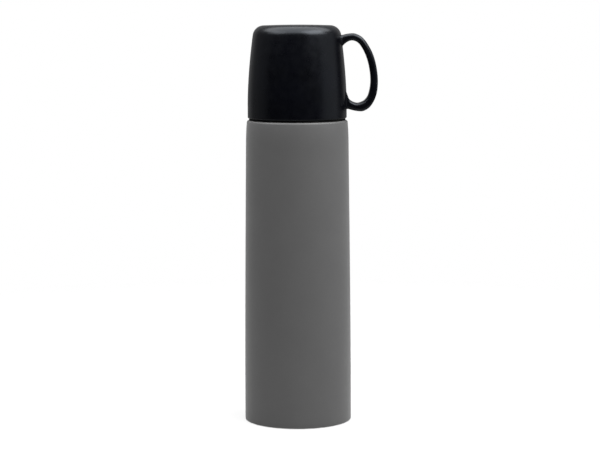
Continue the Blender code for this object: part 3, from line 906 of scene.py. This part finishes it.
def make_stopper_cap():
    """Grip housing with flutes round its side, a fine ring on top and a window for the latch's tab."""
    low, high, edge = extent("stopper_cap")
    hole = 11.3
    seat_z = 216.6
    skirt_inner = 23.7
    ring_z = high - 0.25
    ceiling_z = 222.7
    outline = rounded([
        (skirt_inner, low, 0.2), (edge, low, 0.4), (edge, 219.5), (24.2, 221.6, 2.0), (22.9, 223.5, 2.5),
        (20.6, high, 2.0), (18.4, high, 0.15), (18.1, ring_z, 0.12), (17.7, ring_z, 0.12), (17.4, high, 0.15),
        (hole, high, 0.45), (hole, ceiling_z, 0.2), (20.6, ceiling_z, 0.4), (22.0, 221.6, 0.6),
        (22.6, 219.5, 0.6), (22.6, seat_z, 0.2), (skirt_inner, seat_z, 0.2),
    ], 5)
    outline = densified(outline, low, 221.0, 0.5)
    flutes = 36
    flute_depth = 0.42
    flute_low, flute_top = low + 0.8, 221.4
    fade_low, fade_top = 0.6, 0.9

    def shape(angle, r, z):
        if r < skirt_inner + 0.25 or not flute_low < z < flute_top:
            return r
        fade = min(1.0, (z - flute_low) / fade_low, (flute_top - z) / fade_top)
        wave = 0.5 - 0.5 * math.cos(flutes * angle)
        return r - flute_depth * fade * wave ** 2
    made = raw_object("stopper_cap_fine", turned(outline, flutes * 8, shape))
    latch_low, latch_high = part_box("release_tab")
    window_z = (latch_low.z + latch_high.z) / 2 / MM
    combine(made, rounded_block("cut", (9.6, 8.0, 2.0), (0.0, -24.0, window_z), 0.3), "DIFFERENCE")
    finish = moulded("grip_black_plastic", (0.012, 0.012, 0.014), 0.44, 0.45)
    piece("stopper_grip", made, "stopper_cap", finish)


def make_push_button():
    """Button with a finger dish and three fine grip rings."""
    low, high, rim_r = extent("push_button")
    side = 10.9
    dish_depth, dish_r = 0.55, 9.0
    rim_z = 222.3
    skirt_inner, ceiling_z = 9.7, 224.2
    socket_outer, socket_inner, socket_low_z, socket_top_z = 3.9, 2.7, 217.0, 223.3
    corners = [(0.0, high - dish_depth)]
    for ring_r in (2.6, 4.4, 6.2):
        base = high - dish_depth * (1.0 - (ring_r / dish_r) ** 2)
        corners += [(ring_r - 0.35, base, 0.1), (ring_r, base + 0.22, 0.12), (ring_r + 0.35, base, 0.1)]
    corners += [(8.6, high, 0.8), (side, high - 0.2, 0.9), (side, rim_z, 0.3), (rim_r, rim_z, 0.25)]
    corners += [(rim_r, low, 0.3), (skirt_inner, low, 0.2), (skirt_inner, ceiling_z, 0.5)]
    corners += [(socket_outer, ceiling_z, 0.4), (socket_outer, socket_low_z, 0.2)]
    corners += [(socket_inner, socket_low_z, 0.15), (socket_inner, socket_top_z, 0.1), (0.0, socket_top_z)]
    made = raw_object("push_button_fine", turned(rounded(corners, 4), SMALL_STEPS))
    finish = moulded("button_grey_plastic", (0.23, 0.23, 0.24), 0.42, 0.4)
    piece("pour_button", made, "push_button", finish)


def make_valve_stem():
    """Rod from the button to the valve, with a flange that holds the seal disc up."""
    low, high, flange_r = extent("valve_stem")
    rod = 2.4
    flange_z = 189.2
    dish_z = low + 0.35
    side = rounded([
        (rod, high, 0.5), (rod, flange_z, 1.4), (flange_r, flange_z, 0.3), (flange_r, low, 0.5),
        (3.0, low, 0.8), (2.2, dish_z, 0.5),
    ], 6)
    outline = [(0.0, high)] + side + [(0.0, dish_z)]
    made = raw_object("valve_stem_fine", turned(outline, THIN_STEPS))
    finish = moulded("stem_white_plastic", (0.68, 0.68, 0.66), 0.45, 0.5)
    piece("stem", made, "valve_stem", finish)


def make_valve_seal():
    """Silicone disc with a bevelled underside and a fine groove where it meets the plug."""
    low, high, edge = extent("valve_seal")
    inner = 2.7
    groove_z = high - 0.25
    outline = rounded([
        (inner, low, 0.2), (10.6, low, 0.4), (edge, low + 1.1, 0.4), (edge, high, 0.3), (10.4, high, 0.2),
        (10.0, groove_z, 0.2), (9.4, groove_z, 0.2), (9.0, high, 0.2), (inner, high, 0.2),
    ], 4)
    made = raw_object("valve_seal_fine", turned(outline, SMALL_STEPS))
    finish = soft_rubber("seal_silicone_white", (0.58, 0.58, 0.56), 0.5, 0.25)
    piece("seal_disc", made, "valve_seal", finish)


def make_stem_o_ring():
    low, high, outer = extent("stem_o_ring")
    thick = (high - low) / 2
    outline = arc(outer - thick, (low + high) / 2, thick, 0, 345, 23)
    made = raw_object("stem_o_ring_fine", turned(outline, THIN_STEPS))
    piece("o_ring", made, "stem_o_ring", soft_rubber("o_ring_black", (0.018, 0.018, 0.018), 0.55))


def make_button_spring():
    """Coil under the button."""
    low, high = extent("button_spring")[:2]
    coil_r = 7.8
    wire_r = 0.45
    turns = 5.5
    made = raw_object("button_spring_fine", coil_mesh(coil_r, wire_r, low, high, turns))
    piece("return_spring", made, "button_spring", wire_finish("spring_wire"))
    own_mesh(made)


def make_release_tab():
    """Latch plate round the button, with a ribbed thumb tab in front and the nose behind."""
    low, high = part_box("release_tab")
    bottom, top = low.z / MM, high.z / MM
    middle = (bottom + top) / 2
    lug_thick = top - bottom - 0.02
    ring_inner, ring_outer = 14.6, 17.6
    ring = rounded([
        (ring_inner, bottom, 0.2), (ring_outer, bottom, 0.2), (ring_outer, top, 0.2), (ring_inner, top, 0.2),
    ], 3)
    made = raw_object("release_tab_fine", turned(ring, SMALL_STEPS))
    combine(made, rounded_block("lug", (8.6, 9.0, lug_thick), (0.0, -20.3, middle), 0.3), "UNION")
    button_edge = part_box("push_button")[1].y / MM
    nose_y = button_edge + 1.05
    nose_length = ring_inner + 1.0 - nose_y
    nose_middle = nose_y + nose_length / 2
    nose = rounded_block("lug", (5.0, nose_length, lug_thick), (0.0, nose_middle, middle), 0.3)
    combine(made, nose, "UNION")
    rib_pitch = 1.4
    for i in range(-2, 3):
        groove = rounded_block("cut", (0.5, 0.9, 3.0), (rib_pitch * i, -24.9, middle), 0.15)
        combine(made, groove, "DIFFERENCE")
    finish = moulded("latch_grey_plastic", (0.23, 0.23, 0.24), 0.45, 0.4)
    piece("latch_plate", made, "release_tab", finish)


def make_release_spring():
    """Small coil behind the latch plate, along Y."""
    low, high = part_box("release_spring")
    length = (high.y - low.y) / MM
    coil_r = 0.9
    wire_r = 0.3
    turns = 4.5
    data = coil_mesh(coil_r, wire_r, 0.0, length, turns, closed=0.7, sides=10, steps=28)
    lay_down = Matrix.Rotation(math.radians(-90), 3, "X")
    bmesh.ops.rotate(data, verts=data.verts, cent=(0, 0, 0), matrix=lay_down)
    middle_z = (low.z + high.z) / 2 / MM
    bmesh.ops.translate(data, verts=data.verts, vec=(0.0, low.y / MM, middle_z))
    made = raw_object("release_spring_fine", data)
    piece("latch_spring", made, "release_spring", wire_finish("latch_wire"))
    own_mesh(made)


# ------------------------------------------------------------ floor, light and camera

def make_floor():
    """A pale round floor that shows faintly round the flask and fades out well away from it."""
    faint_alpha = 0.28
    fade_start, fade_end = 0.20, 0.65
    data = bmesh.new()
    bmesh.ops.create_circle(data, cap_ends=True, segments=96, radius=900.0)
    made = raw_object("floor", data)
    finish = Finish("pale_floor", (0.86, 0.86, 0.86), 0.75, 0.0, 0.2)
    finish.rough_patches(60.0, 3.0, 0.70, 0.80)
    distance = finish.tree.nodes.new("ShaderNodeVectorMath")
    distance.operation = "LENGTH"
    finish.link(finish.where, distance.inputs[0])
    alpha = finish.spread(distance.outputs["Value"], faint_alpha, 0.0, fade_start, fade_end)
    finish.link(alpha, finish.shader.inputs["Alpha"])
    made.data.materials.append(finish.material)


WORLD_FRONT = 0.01      # strength of the studio's light from the camera's side
WORLD_BACK = 0.29       # the same from behind the flask
WORLD_UPPER = 1.4       # how much stronger it is above the horizon than below


def ramp(tree, source, from_low, from_high, to_low, to_high):
    """A map range node in the world's tree."""
    node = tree.nodes.new("ShaderNodeMapRange")
    node.inputs["From Min"].default_value = from_low
    node.inputs["From Max"].default_value = from_high
    node.inputs["To Min"].default_value = to_low
    node.inputs["To Max"].default_value = to_high
    tree.links.new(source, node.inputs["Value"])
    return node


def make_world():
    """White to look at, and a dim studio to the light: paler behind the flask than in front of it."""
    world = bpy.data.worlds.new("studio")
    bpy.context.scene.world = world
    world.use_nodes = True
    tree = world.node_tree
    tree.nodes.clear()
    seen = tree.nodes.new("ShaderNodeBackground")
    seen.inputs["Color"].default_value = (1.0, 1.0, 1.0, 1.0)
    lit = tree.nodes.new("ShaderNodeBackground")
    where = tree.nodes.new("ShaderNodeTexCoord")
    direction = tree.nodes.new("ShaderNodeSeparateXYZ")
    tree.links.new(where.outputs["Generated"], direction.inputs[0])
    behind = ramp(tree, direction.outputs["Y"], 0.3, 0.9, WORLD_FRONT, WORLD_BACK)
    behind.interpolation_type = "SMOOTHSTEP"
    above = ramp(tree, direction.outputs["Z"], -0.05, 0.15, 1.0, WORLD_UPPER)
    strength = tree.nodes.new("ShaderNodeMath")
    strength.operation = "MULTIPLY"
    tree.links.new(behind.outputs["Result"], strength.inputs[0])
    tree.links.new(above.outputs["Result"], strength.inputs[1])
    tree.links.new(strength.outputs["Value"], lit.inputs["Strength"])
    path = tree.nodes.new("ShaderNodeLightPath")
    mix = tree.nodes.new("ShaderNodeMixShader")
    tree.links.new(path.outputs["Is Camera Ray"], mix.inputs[0])
    tree.links.new(lit.outputs[0], mix.inputs[1])
    tree.links.new(seen.outputs[0], mix.inputs[2])
    output = tree.nodes.new("ShaderNodeOutputWorld")
    tree.links.new(mix.outputs[0], output.inputs[0])


def soft_box(name, place, aim, width, height, watts, colour=(1.0, 1.0, 1.0)):
    """A rectangular area light at place, metres, that faces aim."""
    light = bpy.data.lights.new(name, "AREA")
    light.shape = "RECTANGLE"
    light.size = width
    light.size_y = height
    light.energy = watts
    light.color = colour
    made = bpy.data.objects.new(name, light)
    made.location = place
    made.rotation_euler = (Vector(aim) - Vector(place)).to_track_quat("-Z", "Y").to_euler()
    bpy.context.scene.collection.objects.link(made)


def make_lights():
    """A large soft light overhead, a key at the right, a weak fill at the left and two side panels."""
    mid_flask = (0.0, 0.0, 0.15)
    soft_box("overhead", (0.0, -0.19, 1.05), (0.0, -0.19, 0.1), 2.1, 1.44, 32.0)
    soft_box("key", (0.66, -0.46, 0.98), mid_flask, 0.9, 0.7, 8.4)
    soft_box("fill", (-0.75, -0.30, 0.90), mid_flask, 0.6, 0.5, 1.3)
    soft_box("right_panel", (0.99, -0.1, 0.35), mid_flask, 0.9, 0.9, 1.0, (0.96, 0.98, 1.0))
    soft_box("left_panel", (-1.0, 0.1, 0.35), mid_flask, 0.8, 0.9, 0.32)


def make_camera():
    """Just above the cup's top, looking slightly down, with the view of a telephoto lens."""
    data = bpy.data.cameras.new("camera")
    data.sensor_width = 36.0
    data.lens = 113.0
    data.dof.use_dof = False
    made = bpy.data.objects.new("camera", data)
    made.location = (0.0016, -1.229, 0.2724)
    tilt_down = math.radians(6.65)
    roll = math.radians(-0.18)
    turn = Matrix.Rotation(math.pi / 2 - tilt_down, 4, "X") @ Matrix.Rotation(roll, 4, "Z")
    made.rotation_euler = turn.to_euler()
    bpy.context.scene.collection.objects.link(made)
    bpy.context.scene.camera = made


def main():
    make_outer_shell()
    make_inner_bottle()
    make_outer_base()
    make_vacuum_seal()
    make_getter()
    make_radiation_foil()
    make_base_pad()
    make_shoulder_ring()
    make_cup_shell()
    make_cup_liner()
    make_stopper_body()
    make_stopper_gasket()
    make_stopper_cap()
    make_push_button()
    make_valve_stem()
    make_valve_seal()
    make_stem_o_ring()
    make_button_spring()
    make_release_tab()
    make_release_spring()
    make_floor()
    make_world()
    make_lights()
    make_camera()
    bpy.context.scene.view_settings.view_transform = "Standard"


main()
